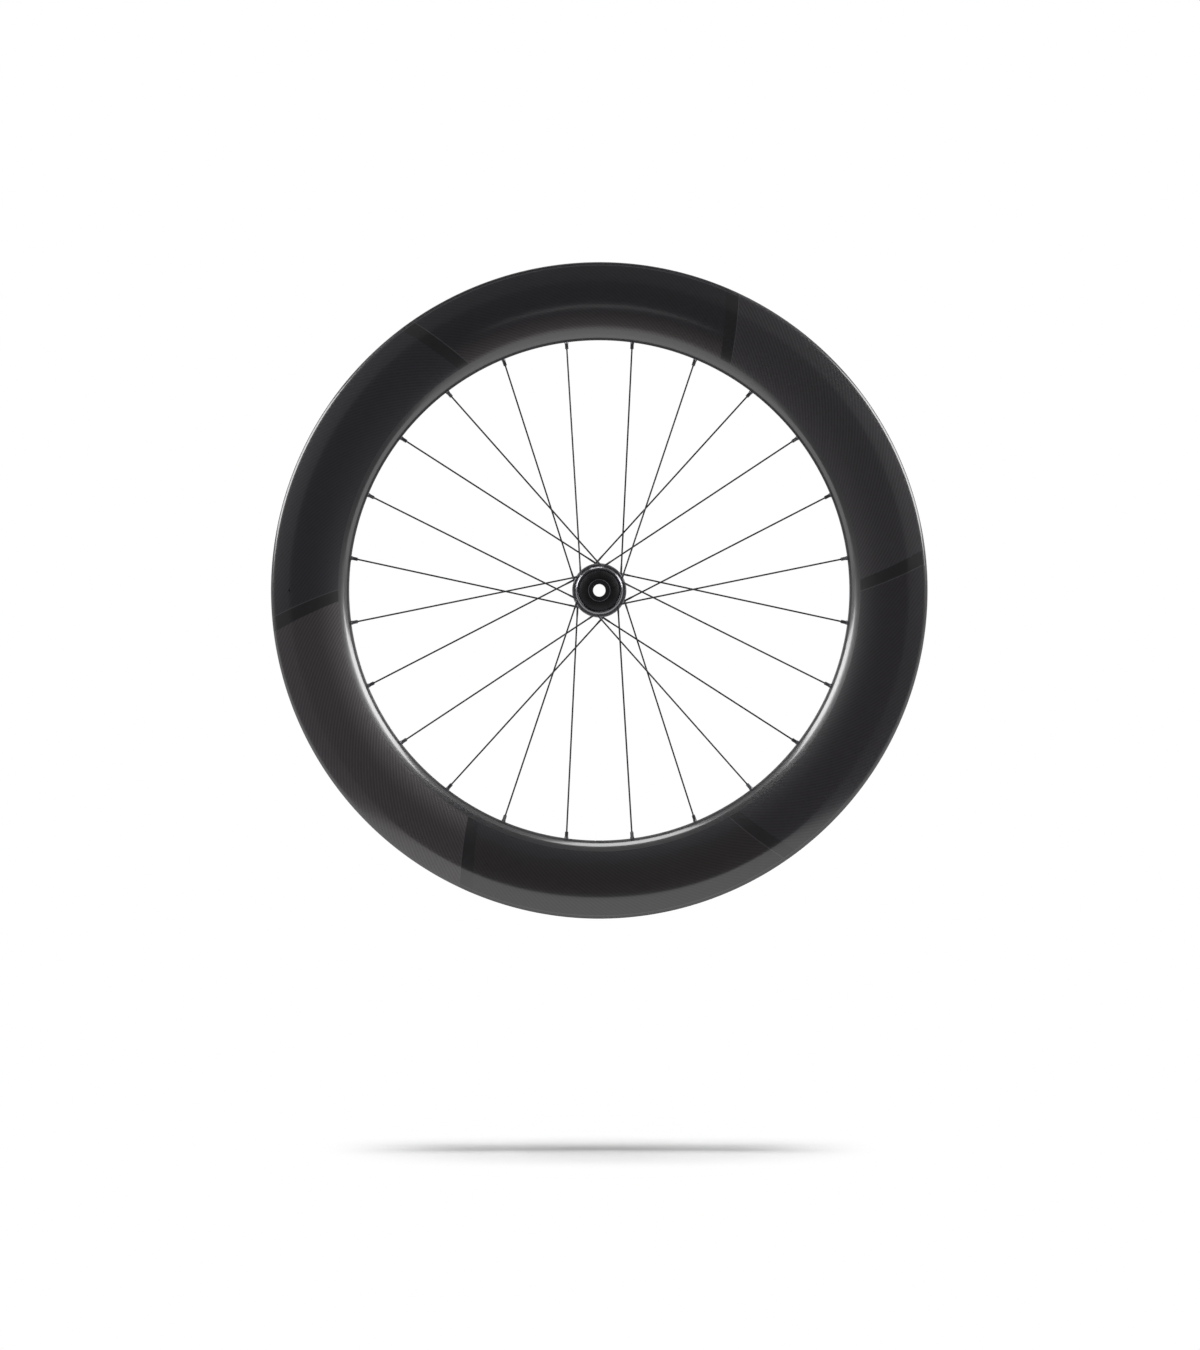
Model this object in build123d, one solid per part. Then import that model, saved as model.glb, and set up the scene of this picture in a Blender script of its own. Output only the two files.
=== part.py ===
from build123d import *
from math import asin, atan2, cos, degrees, radians, sin, sqrt
import os

# Front road wheel: a deep hollow carbon rim on a straight-pull disc-brake hub, bare of tyre, rotor and valve.
# Millimetres. The origin is the wheel's centre, on the axle and in the rim's middle plane.
# Y runs along the axle: -Y is the plain side, +Y the brake side. +Z is up and the valve hole points down.

# Rim
bead_seat_diameter = 622.0
flange_height = 6.0
rim_depth = 75.0
rim_width = 30.8
widest_below_tip = 21.0
shoulder_arc = 40.0
shoulder_turn = 6.0
lip_height = 4.5
tip_land = 0.5
bead_width = 23.0
hook_depth = 0.5
hook_height = 1.6
shelf_width = 3.6
hump_height = 0.6
hump_width = 0.7
well_depth = 3.0
well_width = 9.4
nose_arc = 6.0
nose_turn = 45.0
cheek_arc = 12.0
cheek_turn = 25.0
side_wall = 1.2
bed_wall = 1.8
flange_root = 2.4
spoke_bed = 4.0
valve_hole_radius = 3.25
valve_countersink = 0.5
weep_hole_radius = 0.85
weep_below_tip = 18.0
weep_angle = 270.0

# Rim strip
strip_thickness = 1.0
strip_clearance = 0.15

# Spokes and nipples
spoke_count = 24
plain_offset = 17.0
brake_offset = 20.3
spoke_radius = 1.0
spoke_head_radius = 1.7
spoke_head_height = 1.5
blade_width = 1.6
blade_thickness = 0.95
hub_shank = 11.0
thread_below_nipple = 4.0
blade_taper = 4.0
spoke_past_seat = 1.6
nipple_head_radius = 2.9
nipple_head_height = 2.4
nipple_radius = 2.0
nipple_length = 12.0
nipple_flats = 3.3
nipple_flat_length = 5.0
nipple_chamfer = 0.5
nipple_seat_depth = 0.8
thread_clearance = 0.05
spoke_hole_clearance = 0.1
nipple_hole_clearance = 0.15
seat_clearance = 0.4
access_hole_radius = 4.0

# Hub shell
hub_width = 100.0
plain_flange_y = 32.5
brake_flange_y = 23.0
plain_flange_radius = 22.8
brake_flange_radius = 26.4
flange_wall = 4.2
row_spacing = 3.4
pocket_clearance = 0.2
pocket_margin = 0.3
flange_web = 2.0
flange_round = 1.0
dish_depth = 2.6
dish_lip = 3.2
housing_wall = 1.6
shoulder_step = 1.1
shoulder_length = 2.0
barrel_radius = 11.2
barrel_wall = 1.4
rotor_seat_length = 2.4
rotor_seat_step = 1.7
spline_length = 9.0
spline_teeth = 52
spline_tooth_height = 0.7
spline_wall = 1.7
lockring_step = 1.8
lockring_depth = 2.8

# Axle, end caps and O-rings
thru_axle_bore = 12.1
axle_wall = 1.1
axle_shoulder = 0.9
cap_radius = 10.7
cap_collar_radius = 9.5
cap_collar_length = 1.6
cap_chamfer = 0.6
spigot_length = 9.0
spigot_clearance = 0.05
o_ring_section = 0.7
o_ring_clearance = 0.015
o_ring_inset = 4.0

# Cartridge bearings
bearing_bore = 17.0
bearing_outside = 26.0
bearing_width = 5.0
bearing_fit = 0.01
bearing_inset = 0.8
ball_diameter = 2.78
ball_count = 12
ball_clearance = 0.03
race_land = 0.9
seal_thickness = 0.5
seal_inset = 0.1
seal_step = 0.55
seal_clearance = 0.1
cage_half_section = 0.55
cage_back = 0.35
cage_front = 0.55
cage_clearance = 0.06

# Places worked out from the sizes above
bead_seat_radius = bead_seat_diameter / 2
tip_radius = bead_seat_radius + flange_height
nose_radius = tip_radius - rim_depth
widest_radius = tip_radius - widest_below_tip
bead_half = bead_width / 2
well_radius = bead_seat_radius - well_depth
bed_floor_radius = nose_radius + spoke_bed
nipple_seat_radius = bed_floor_radius - nipple_seat_depth

bearing_radius = bearing_outside / 2
axle_radius = bearing_bore / 2 - bearing_fit
axle_bore_radius = axle_radius - axle_wall
thru_radius = thru_axle_bore / 2
pitch_radius = (bearing_bore + bearing_outside) / 4
ball_radius = ball_diameter / 2
pocket_radius = spoke_head_radius + pocket_clearance
cavity_half = row_spacing / 2 + pocket_radius + pocket_margin
plain_web_y = plain_flange_y + cavity_half
plain_dish_y = plain_web_y + flange_web
plain_bearing_y = plain_dish_y - bearing_inset
brake_web_y = brake_flange_y + cavity_half
rotor_seat_y = brake_web_y + flange_web + rotor_seat_length
spline_end_y = rotor_seat_y + spline_length
brake_bearing_y = spline_end_y - lockring_depth
lockring_radius = bearing_radius + lockring_step
spline_root_radius = lockring_radius + spline_wall

standing = (Align.CENTER, Align.CENTER, Align.MIN)


def turned(*points):
    """A lathe piece about the axle, from corners given as radius and place along Y."""
    return revolve(make_face(Polyline(*points, close=True).edges()), Axis.Y)


def both_halves(curves):
    """Edges of half an outline, with their mirror images across the rim's middle plane."""
    edges = [edge for curve in curves for edge in curve.edges()]
    return edges + [mirror(edge, about=Plane.XZ) for edge in edges]


def rod(plane, radius, start, end):
    """A cylinder about a plane's normal, between two distances along it."""
    return plane * Pos(0, 0, start) * Cylinder(radius, end - start, align=standing)


def radial_plane(angle):
    """A plane at the wheel's centre whose normal points to a clock angle, as seen from the plain side."""
    return Plane(origin=(0, 0, 0), x_dir=(0, 1, 0), z_dir=(sin(radians(angle)), 0, cos(radians(angle))))


class SpokeLine:
    """One spoke's straight line, from its head's seat in the hub flange to its nipple's seat in the rim.

    Spokes go round in fours: brake and plain side leaning one way, then brake and plain side leaning back.
    """

    def __init__(self, index):
        self.angle = (index + 0.5) * 360 / spoke_count
        self.plain = index % 2 == 1
        lean = 1 if index % 4 < 2 else -1
        reach = plain_offset if self.plain else brake_offset
        flange_radius = plain_flange_radius if self.plain else brake_flange_radius
        flange_y = -plain_flange_y if self.plain else brake_flange_y
        cavity_radius = flange_radius - flange_wall
        self.pocket_length = sqrt(cavity_radius**2 - (reach - pocket_radius) ** 2) + pocket_margin
        turn = 90 - degrees(asin(reach / nipple_seat_radius)) - degrees(atan2(self.pocket_length, reach))
        seat_angle = radians(self.angle + lean * turn)
        seat_radius = sqrt(reach**2 + self.pocket_length**2)
        seat = Vector(
            seat_radius * sin(seat_angle),
            flange_y - lean * row_spacing / 2,
            seat_radius * cos(seat_angle),
        )
        rim_angle = radians(self.angle)
        nipple = Vector(nipple_seat_radius * sin(rim_angle), 0, nipple_seat_radius * cos(rim_angle))
        along = (nipple - seat).normalized()
        self.length = (nipple - seat).length
        self.plane = Plane(origin=seat, x_dir=Vector(0, 1, 0).cross(along), z_dir=along)


def rim_outline():
    """Outside of one rim wall from the nose to the lip, with X as the radius and Y along the axle."""
    nose = CenterArc((nose_radius + nose_arc, 0), nose_arc, 180, -nose_turn)
    cheek = JernArc(nose @ 1, nose % 1, cheek_arc, -cheek_turn)
    wall = TangentArc(cheek @ 1, (widest_radius, rim_width / 2), tangent=cheek % 1)
    shoulder = JernArc(wall @ 1, wall % 1, shoulder_arc, -shoulder_turn)
    start, heading = shoulder @ 1, shoulder % 1
    flank = Line(start, start + heading * ((tip_radius - lip_height - start.X) / heading.X))
    return [nose, cheek, wall, shoulder, flank]


def rim_cavity():
    """The hollow of the rim's section: the outline set in by the wall, between spoke bed and tyre bed."""
    outline = rim_outline()
    lip = outline[-1] @ 1
    closed = make_face(both_halves([*outline, Line(lip, (lip.X, 0))]))
    ceiling = Polyline(
        (bed_floor_radius, 0),
        (bed_floor_radius, rim_width),
        (bead_seat_radius - bed_wall - flange_root, rim_width / 2),
        (bead_seat_radius - bed_wall, bead_half - shelf_width),
        (well_radius - bed_wall, well_width / 2),
        (well_radius - bed_wall, 0),
    )
    return offset(closed, amount=-side_wall) & make_face(both_halves([ceiling]))


def rim(lines):
    """The moulded carbon rim with its spoke, access, valve and weep holes."""
    outline = rim_outline()
    tip = TangentArc(outline[-1] @ 1, (tip_radius, bead_half + tip_land), tangent=outline[-1] % 1)
    hump_y = bead_half - shelf_width
    bed = Polyline(
        tip @ 1,
        (tip_radius, bead_half),
        (tip_radius - hook_depth, bead_half - hook_depth),
        (tip_radius - hook_height, bead_half - hook_depth),
        (tip_radius - hook_height - hook_depth, bead_half),
        (bead_seat_radius, bead_half),
        (bead_seat_radius, hump_y),
        (bead_seat_radius + hump_height, hump_y - hump_width / 2),
        (bead_seat_radius, hump_y - hump_width),
        (well_radius, well_width / 2),
        (well_radius, 0),
    )
    section = make_face(both_halves([*outline, tip, bed])) - rim_cavity()
    holes = []
    for line in lines:
        shank = nipple_radius + nipple_hole_clearance
        head = nipple_head_radius + seat_clearance
        holes.append(rod(line.plane, shank, line.length - 2 * spoke_bed, line.length + nipple_seat_depth))
        holes.append(rod(line.plane, head, line.length, line.length + 2 * nipple_head_height))
        bed_start = well_radius - 2 * bed_wall
        holes.append(rod(radial_plane(line.angle), access_hole_radius, bed_start, bead_seat_radius))
    valve = radial_plane(180)
    holes.append(rod(valve, valve_hole_radius, nose_radius - nose_arc, tip_radius))
    countersink_depth = nose_arc - sqrt(nose_arc**2 - valve_hole_radius**2) + valve_countersink
    mouth_radius = valve_hole_radius + countersink_depth
    countersink = Cone(mouth_radius, valve_hole_radius, countersink_depth, align=standing)
    holes.append(valve * Pos(0, 0, nose_radius) * countersink)
    weep = radial_plane(weep_angle) * Pos(0, 0, tip_radius - weep_below_tip) * Rot(0, -90, 0)
    holes.append(weep * Cylinder(weep_hole_radius, rim_width, align=standing))
    return revolve(section, Axis.Y) - holes


def rim_strip():
    """The plastic strip that lies in the rim's well and closes its access holes, with the valve's hole."""
    inner = well_radius + strip_clearance
    half = well_width / 2 - strip_clearance
    slope = (bead_half - shelf_width - hump_width - well_width / 2) / well_depth
    outer_half = half + strip_thickness * slope
    band = turned(
        (inner, -half),
        (inner, half),
        (inner + strip_thickness, outer_half),
        (inner + strip_thickness, -outer_half),
    )
    return band - rod(radial_plane(180), valve_hole_radius, well_radius, tip_radius)


def spoke(line):
    """A straight-pull spoke: round at its head and its thread, drawn to a flat blade between."""
    thread_start = line.length - (nipple_length - nipple_head_height) - thread_below_nipple
    taper_point = blade_thickness / 3
    hub_end = Polyline(
        (0, -spoke_head_height),
        (spoke_head_radius, -spoke_head_height),
        (spoke_head_radius, 0),
        (spoke_radius, 0),
        (spoke_radius, hub_shank),
        (taper_point, hub_shank + blade_taper),
        (0, hub_shank + blade_taper),
        close=True,
    )
    rim_end = Polyline(
        (0, thread_start - blade_taper),
        (taper_point, thread_start - blade_taper),
        (spoke_radius, thread_start),
        (spoke_radius, line.length + spoke_past_seat),
        (0, line.length + spoke_past_seat),
        close=True,
    )
    ends = [revolve(Plane.XZ * make_face(end.edges()), Axis.Z) for end in (hub_end, rim_end)]
    section = Pos(0, 0, hub_shank) * SlotOverall(blade_width, blade_thickness)
    blade = extrude(section, amount=thread_start - hub_shank)
    return line.plane * (ends[0] + blade + ends[1])


def nipple(line):
    """A spoke nipple: a round head on its seat inside the rim and a shank with four key flats outside."""
    shank_end = nipple_head_height - nipple_length
    body = Polyline(
        (spoke_radius + thread_clearance, shank_end),
        (nipple_radius - nipple_chamfer, shank_end),
        (nipple_radius, shank_end + nipple_chamfer),
        (nipple_radius, 0),
        (nipple_head_radius, 0),
        (nipple_head_radius, nipple_head_height - nipple_chamfer),
        (nipple_head_radius - nipple_chamfer, nipple_head_height),
        (spoke_radius + thread_clearance, nipple_head_height),
        close=True,
    )
    turned_body = revolve(Plane.XZ * make_face(body.edges()), Axis.Z)
    side = 2 * nipple_radius
    flats = Box(side, side, nipple_flat_length, align=standing)
    flats -= Box(nipple_flats, nipple_flats, nipple_flat_length, align=standing)
    return line.plane * Pos(0, 0, line.length) * (turned_body - Pos(0, 0, shank_end) * flats)


def barrel():
    """The hub's middle tube, with a bearing housing at the plain end and the rotor mount at the brake end."""
    seat = bearing_radius + bearing_fit
    shoulder = bearing_radius - shoulder_step
    housing = bearing_radius + housing_wall
    plain_shoulder_y = plain_bearing_y - bearing_width
    brake_shoulder_y = brake_bearing_y - bearing_width
    bore = barrel_radius - barrel_wall
    return turned(
        (housing, -plain_dish_y),
        (housing, -plain_shoulder_y),
        (barrel_radius, -(plain_shoulder_y - plain_flange_radius / 2)),
        (barrel_radius, brake_web_y - brake_flange_radius / 2),
        (housing, brake_web_y),
        (spline_root_radius, brake_web_y + flange_web),
        (spline_root_radius, spline_end_y),
        (lockring_radius, spline_end_y),
        (lockring_radius, brake_bearing_y),
        (seat, brake_bearing_y),
        (seat, brake_shoulder_y),
        (shoulder, brake_shoulder_y),
        (shoulder, brake_shoulder_y - shoulder_length),
        (bore, brake_shoulder_y - 2 * shoulder_length),
        (bore, -(plain_shoulder_y - 2 * shoulder_length)),
        (shoulder, -(plain_shoulder_y - shoulder_length)),
        (shoulder, -plain_shoulder_y),
        (seat, -plain_shoulder_y),
        (seat, -plain_dish_y),
    )


def plain_flange():
    """The plain side's cup: a wall that the spokes pull on, closed by a dished face with a rounded lip."""
    open_y = -(plain_flange_y - cavity_half)
    housing = bearing_radius + housing_wall
    cavity_radius = plain_flange_radius - flange_wall
    root = bearing_radius + housing_wall / 2
    lip_y = -(plain_dish_y + dish_depth)
    crown_radius = plain_flange_radius - dish_lip / 2
    lip_inner = plain_flange_radius - dish_lip
    wall = Polyline(
        (root, -plain_dish_y),
        (root, -plain_web_y),
        (cavity_radius, -plain_web_y),
        (cavity_radius, open_y),
        (plain_flange_radius - flange_round, open_y),
        (plain_flange_radius, open_y - flange_round),
        (plain_flange_radius, lip_y + dish_lip / 2),
    )
    lip_outside = TangentArc(wall @ 1, (crown_radius, lip_y), tangent=(0, -1))
    lip_inside = TangentArc(lip_outside @ 1, (lip_inner, lip_y + dish_lip / 2), tangent=lip_outside % 1)
    dish = TangentArc((housing, -plain_dish_y), lip_inside @ 1, tangent=(1, 0))
    floor = Line((root, -plain_dish_y), (housing, -plain_dish_y))
    outline = [wall, lip_outside, lip_inside, dish, floor]
    return revolve(make_face([edge for curve in outline for edge in curve.edges()]), Axis.Y)


def brake_flange():
    """The brake side's cup, with the shoulder that the brake rotor seats against."""
    open_y = brake_flange_y - cavity_half
    cavity_radius = brake_flange_radius - flange_wall
    face_y = brake_web_y + flange_web
    rotor_seat_radius = spline_root_radius + spline_tooth_height + rotor_seat_step
    root = bearing_radius
    return turned(
        (root, brake_web_y),
        (cavity_radius, brake_web_y),
        (cavity_radius, open_y),
        (brake_flange_radius - flange_round, open_y),
        (brake_flange_radius, open_y + flange_round),
        (brake_flange_radius, brake_web_y - flange_round),
        (cavity_radius, face_y),
        (rotor_seat_radius, face_y),
        (rotor_seat_radius, rotor_seat_y),
        (root + housing_wall, rotor_seat_y),
        (root + housing_wall, face_y),
    )


def rotor_spline():
    """The ring of fine teeth that a brake rotor slides over."""
    tip_radius_here = spline_root_radius + spline_tooth_height
    tooth_width = tip_radius_here * radians(360 / spline_teeth) / 2
    tooth = Rectangle(2 * spline_tooth_height, tooth_width)
    ring = Circle(spline_root_radius) + PolarLocations(spline_root_radius, spline_teeth) * tooth
    ring -= Circle(spline_root_radius - spline_wall / 2)
    front = Plane(origin=(0, rotor_seat_y - flange_web / 2, 0), z_dir=(0, 1, 0))
    teeth_length = spline_length + flange_web / 2 - spline_tooth_height
    return extrude(front * ring, amount=teeth_length)


def hub_shell(lines):
    """The one-piece aluminium hub body, with a hole and a head pocket on every spoke's line."""
    holes = []
    for line in lines:
        hole = spoke_radius + spoke_hole_clearance
        holes.append(rod(line.plane, hole, -spoke_head_height, 2 * flange_wall))
        holes.append(rod(line.plane, pocket_radius, -line.pocket_length, 0))
    return barrel() + plain_flange() + brake_flange() + rotor_spline() - holes


def axle():
    """The tube that both bearings sit on, with a shoulder between them."""
    shoulder = axle_radius + axle_shoulder
    return turned(
        (axle_bore_radius, -plain_bearing_y),
        (axle_radius, -plain_bearing_y),
        (axle_radius, bearing_width - plain_bearing_y),
        (shoulder, bearing_width - plain_bearing_y),
        (shoulder, brake_bearing_y - bearing_width),
        (axle_radius, brake_bearing_y - bearing_width),
        (axle_radius, brake_bearing_y),
        (axle_bore_radius, brake_bearing_y),
    )


def end_cap(bearing_face):
    """An end cap for the brake side: a collar on the bearing, a spigot in the axle and the fork's face."""
    spigot = axle_bore_radius - spigot_clearance
    groove = axle_bore_radius - o_ring_section - 2 * o_ring_clearance
    groove_start = bearing_face - o_ring_inset - o_ring_section / 2 - spigot_clearance
    groove_end = bearing_face - o_ring_inset + o_ring_section / 2 + spigot_clearance
    cap_face = hub_width / 2
    body_start = bearing_face + cap_collar_length
    return turned(
        (thru_radius, bearing_face - spigot_length),
        (spigot, bearing_face - spigot_length),
        (spigot, groove_start),
        (groove, groove_start),
        (groove, groove_end),
        (spigot, groove_end),
        (spigot, bearing_face),
        (cap_collar_radius, bearing_face),
        (cap_collar_radius, body_start),
        (cap_radius, body_start + cap_radius - cap_collar_radius),
        (cap_radius, cap_face - cap_chamfer),
        (cap_radius - cap_chamfer, cap_face),
        (thru_radius + cap_chamfer, cap_face),
        (thru_radius, cap_face - cap_chamfer),
    )


def o_ring(bearing_face):
    """The rubber ring in an end cap's groove, which grips the axle's bore."""
    middle = axle_bore_radius - o_ring_clearance - o_ring_section / 2
    section = Pos(middle, bearing_face - o_ring_inset) * Circle(o_ring_section / 2)
    return revolve(section, Axis.Y)


def ball_groove():
    """The ring of space that the balls run in, a little larger than they are."""
    return revolve(Pos(pitch_radius, 0) * Circle(ball_radius + ball_clearance), Axis.Y)


def outer_race():
    """A bearing's outer ring, stepped at both faces for its seals."""
    half = bearing_width / 2
    land = pitch_radius + race_land
    step = land + seal_step
    depth = half - seal_inset - seal_thickness
    return turned(
        (land, -depth),
        (step, -depth),
        (step, -half),
        (bearing_radius, -half),
        (bearing_radius, half),
        (step, half),
        (step, depth),
        (land, depth),
    ) - ball_groove()


def inner_race():
    """A bearing's inner ring."""
    half = bearing_width / 2
    bore = bearing_bore / 2
    land = pitch_radius - race_land
    return turned((bore, -half), (land, -half), (land, half), (bore, half)) - ball_groove()


def seal(side):
    """A bearing's seal, held in the outer ring's step and just clear of the inner ring."""
    outside = pitch_radius + race_land + seal_step - bearing_fit
    inside = pitch_radius - race_land + seal_clearance
    face = side * (bearing_width / 2 - seal_inset)
    back = face - side * seal_thickness
    return turned((inside, back), (outside, back), (outside, face), (inside, face))


def ball_places():
    """The centres of one bearing's balls."""
    step = radians(360 / ball_count)
    return [Pos(pitch_radius * sin(k * step), 0, pitch_radius * cos(k * step)) for k in range(ball_count)]


def cage():
    """A crown cage: a ring with a round pocket, open to one side, for every ball."""
    inside = pitch_radius - cage_half_section
    outside = pitch_radius + cage_half_section
    back = -(ball_radius + cage_clearance + cage_back)
    ring = turned((inside, back), (outside, back), (outside, cage_front), (inside, cage_front))
    return ring - [place * Sphere(ball_radius + cage_clearance) for place in ball_places()]


def bearing(name, face, side):
    """The six pieces of one cartridge bearing, by node name, with its outer face at a place along Y."""
    middle = Pos(0, side * (face - bearing_width / 2), 0)
    pieces = {
        "outer_race": middle * outer_race(),
        "inner_race": middle * inner_race(),
        "outer_seal": middle * seal(side),
        "inner_seal": middle * seal(-side),
        "balls": Compound(children=[middle * place * Sphere(ball_radius) for place in ball_places()]),
        "cage": middle * cage(),
    }
    return {f"{name}_bearing_{piece}": shape for piece, shape in pieces.items()}


def build():
    """Every node of the wheel, by name."""
    lines = [SpokeLine(index) for index in range(spoke_count)]
    plain_lines = [line for line in lines if line.plain]
    brake_lines = [line for line in lines if not line.plain]
    nodes = {
        "rim": rim(lines),
        "rim_strip": rim_strip(),
        "hub_shell": hub_shell(lines),
        "axle_tube": axle(),
        "brake_end_cap": end_cap(brake_bearing_y),
        "plain_end_cap": mirror(end_cap(plain_bearing_y), about=Plane.XZ),
        "brake_o_ring": o_ring(brake_bearing_y),
        "plain_o_ring": mirror(o_ring(plain_bearing_y), about=Plane.XZ),
        "brake_nipples": Compound(children=[nipple(line) for line in brake_lines]),
        "plain_nipples": Compound(children=[nipple(line) for line in plain_lines]),
    }
    nodes.update(bearing("brake", brake_bearing_y, 1))
    nodes.update(bearing("plain", plain_bearing_y, -1))
    for side, side_lines in (("brake", brake_lines), ("plain", plain_lines)):
        for number, line in enumerate(side_lines, start=1):
            nodes[f"{side}_spoke_{number:02d}"] = spoke(line)
    return nodes


os.makedirs("parts", exist_ok=True)
for node_name, node_shape in build().items():
    export_step(node_shape, f"parts/{node_name}.step")
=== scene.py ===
# %% [markdown]
# # A front road wheel
# The wheel has a deep hollow carbon rim, 24 thin bladed spokes and a disc-brake hub with a bore for a
# through-axle. Its solids come in ready, at their real size, as a fixed frame. This lesson gives them
# their looks: it remodels the rim and the spokes as smooth meshes, adds the thin shield over one bearing,
# gives every piece the finish of the real one, and lights the wheel like a catalogue picture.

# %% Load the frame
import cmath
from math import atan2, cos, degrees, pi, radians, sin

import bmesh
import bpy
import numpy as np
from mathutils import Matrix, Vector


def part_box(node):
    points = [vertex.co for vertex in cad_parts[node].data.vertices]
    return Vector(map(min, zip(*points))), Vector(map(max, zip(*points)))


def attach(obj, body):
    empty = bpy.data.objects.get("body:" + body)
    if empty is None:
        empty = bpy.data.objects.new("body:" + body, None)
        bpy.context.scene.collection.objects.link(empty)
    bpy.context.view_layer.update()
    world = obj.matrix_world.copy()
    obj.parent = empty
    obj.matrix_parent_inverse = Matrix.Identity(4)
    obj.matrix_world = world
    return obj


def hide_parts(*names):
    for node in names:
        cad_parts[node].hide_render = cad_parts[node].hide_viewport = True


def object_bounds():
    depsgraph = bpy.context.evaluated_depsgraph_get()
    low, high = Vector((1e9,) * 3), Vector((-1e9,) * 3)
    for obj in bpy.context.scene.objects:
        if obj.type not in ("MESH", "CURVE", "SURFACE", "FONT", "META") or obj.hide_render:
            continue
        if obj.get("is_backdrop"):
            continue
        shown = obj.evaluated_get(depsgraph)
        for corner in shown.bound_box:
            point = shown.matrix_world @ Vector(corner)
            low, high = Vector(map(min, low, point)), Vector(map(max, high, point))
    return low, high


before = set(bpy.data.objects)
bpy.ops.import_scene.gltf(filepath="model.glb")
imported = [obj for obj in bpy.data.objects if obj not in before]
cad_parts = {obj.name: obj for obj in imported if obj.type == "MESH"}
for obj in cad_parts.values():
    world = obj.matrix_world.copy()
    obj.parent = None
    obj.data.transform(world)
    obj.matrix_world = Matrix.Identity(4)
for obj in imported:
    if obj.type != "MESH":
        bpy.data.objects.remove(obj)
cad_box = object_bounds()

# %% [markdown]
# ## Colours and nodes
# Colours are written as the hex values that a screen shows, and Blender works in linear light, so one
# function converts them. Every material is a small tree of nodes. One more function adds a node, sets it
# up and links it, so that each material below reads as a list of what its surface does.

# %% Colour and node helpers
MM = 0.001


def linear(hex_colour):
    """A colour as Blender wants it, from the hex value that a screen shows."""
    channels = [int(hex_colour[i:i + 2], 16) / 255 for i in (1, 3, 5)]
    return (*[c / 12.92 if c <= 0.04045 else ((c + 0.055) / 1.055) ** 2.4 for c in channels], 1.0)


def add(tree, kind, inputs=None, **settings):
    """A new node: its settings, and for each input a value or the output that feeds it."""
    node = tree.nodes.new("ShaderNode" + kind)
    for name, value in settings.items():
        setattr(node, name, value)
    for key, value in (inputs or {}).items():
        if isinstance(value, bpy.types.NodeSocket):
            tree.links.new(value, node.inputs[key])
        else:
            node.inputs[key].default_value = value
    return node


def finish_named(name):
    """A new material with a bare surface shader: the material, its tree and that shader."""
    material = bpy.data.materials.new(name)
    material.use_nodes = True
    return material, material.node_tree, material.node_tree.nodes["Principled BSDF"]


print("mid grey in linear light:", round(linear("#808080")[0], 3))

# %% [markdown]
# ## The camera
# The picture was taken from straight along the axle with a long lens, so both hub flanges look concentric.
# The wheel stands above the middle of the picture because the lens was shifted, not because the camera was
# tilted: a tilt would turn the circle into an egg. The picture's height at the wheel follows from the
# rim's size in pixels.

# %% Camera
# In pixels of the picture: its own size, the middle of the hub and the rim's outer radius.
PHOTO_WIDTH, PHOTO_HEIGHT = 1200, 1350
PHOTO_HUB = (599.3, 590.4)
PHOTO_RIM_RADIUS = 327.55
# The camera's distance is in metres, and its sensor in millimetres.
CAMERA_DISTANCE = 5.0
SENSOR_HEIGHT = 24.0

_, rim_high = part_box("rim")
tip_radius = rim_high.x / MM
picture_height = PHOTO_HEIGHT * rim_high.x / PHOTO_RIM_RADIUS

camera_data = bpy.data.cameras.new("camera")
camera_data.sensor_fit = "VERTICAL"
camera_data.sensor_height = SENSOR_HEIGHT
camera_data.lens = SENSOR_HEIGHT * CAMERA_DISTANCE / picture_height
camera_data.shift_x = (PHOTO_WIDTH / 2 - PHOTO_HUB[0]) / PHOTO_HEIGHT
camera_data.shift_y = (PHOTO_HUB[1] - PHOTO_HEIGHT / 2) / PHOTO_HEIGHT
camera = bpy.data.objects.new("camera", camera_data)
camera.location = (0, -CAMERA_DISTANCE, 0)
camera.rotation_euler = (pi / 2, 0, 0)
bpy.context.scene.collection.objects.link(camera)
bpy.context.scene.camera = camera
bpy.context.scene.view_settings.view_transform = "Standard"
print("lens:", round(camera_data.lens, 1), "mm, picture height:", round(picture_height, 3), "m")

# %% [markdown]
# ## The floor
# The wheel floats over a white floor that runs into a white backdrop, and only a thin shadow right under
# it says where the floor is. A large sheet of paper could be lit until it is white all over, but that much
# light would bleach the wheel too. So the paper is lit plainly under the wheel, where the shadow falls,
# and turns into an even white glow further out.

# %% Floor and backdrop
# Metres. The paper takes the shadow up to the lit radius, and is plain white from the fade radius on.
FLOOR_Z = -0.5375
FLOOR_RADIUS = 14.0
FLOOR_LIT_RADIUS = 0.12
FLOOR_FADE_RADIUS = 0.275
FLOOR_SEGMENTS = 96
FLOOR_COLOUR = "#f6f6f6"


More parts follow.
